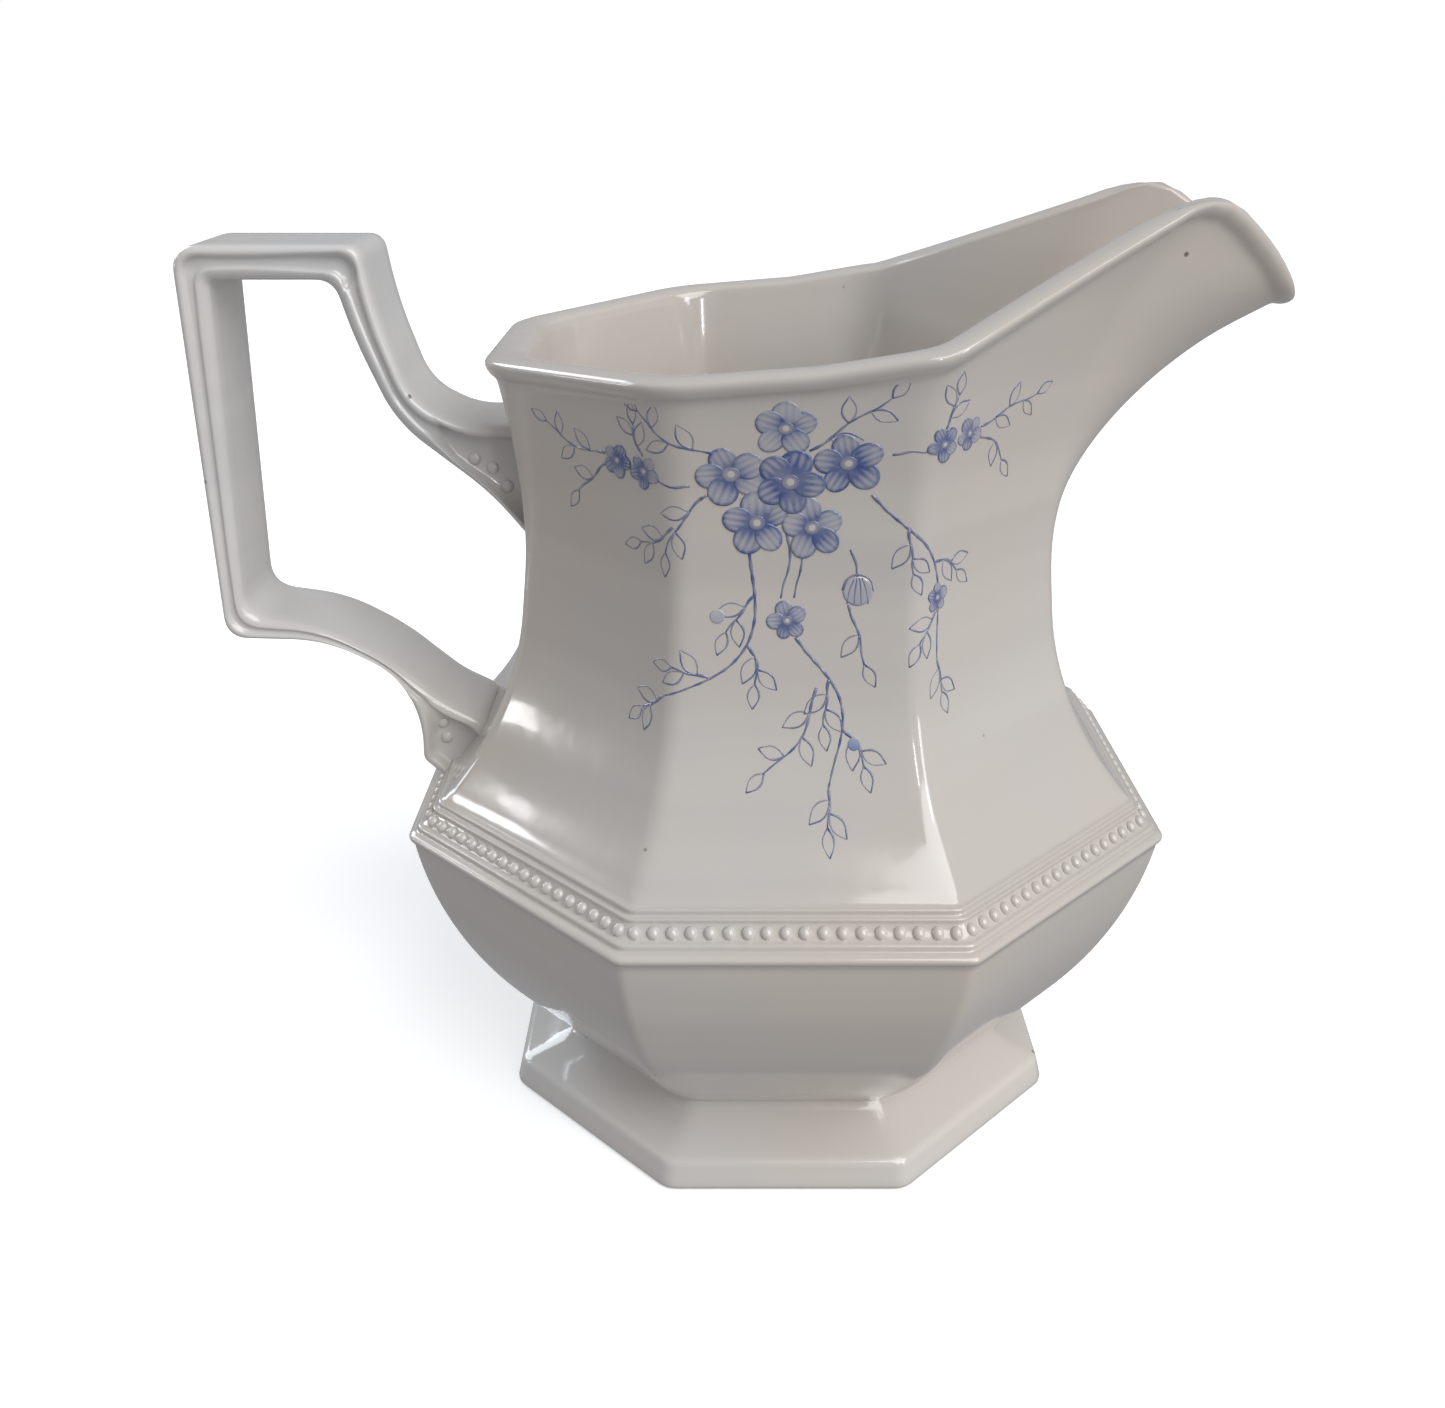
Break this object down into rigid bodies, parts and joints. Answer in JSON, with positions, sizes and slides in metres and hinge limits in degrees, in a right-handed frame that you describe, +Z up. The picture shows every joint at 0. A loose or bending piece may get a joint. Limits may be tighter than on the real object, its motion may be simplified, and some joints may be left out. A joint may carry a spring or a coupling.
{
  "type": "cream jug",
  "caption": "Small glazed earthenware pouring jug with faceted sides, pedestal foot, beaded belt, square-cornered strap handle and a broad raised lip, printed with blue flower sprays.",
  "frame": {"origin": "On the resting plane, at the axis of the eight-sided body and foot", "axes": "+Z up, +X from the body axis towards the pouring lip, -X towards the handle; the XZ plane is the mirror plane"},
  "size_m": [0.139, 0.0994, 0.1237],
  "materials": {
    "body_glaze": "glossy off-white glaze with blue under-glaze print",
    "foot_glaze": "glossy off-white glaze",
    "relief_glaze": "glossy off-white glaze",
    "handle_glaze": "glossy off-white glaze"
  },
  "bodies": {
    "root": {"pedestal_foot": "foot_glaze", "vessel_body": "body_glaze", "rim_roll": "body_glaze", "belt_lower_moulding": "relief_glaze", "belt_upper_moulding": "relief_glaze", "belt_bead_row": "relief_glaze", "handle_strap": "handle_glaze", "handle_border_near": "handle_glaze", "handle_border_far": "handle_glaze", "handle_upper_terminal": "handle_glaze", "handle_lower_terminal": "handle_glaze", "upper_terminal_beads": "handle_glaze", "lower_terminal_beads": "handle_glaze"}
  },
  "joints": []
}
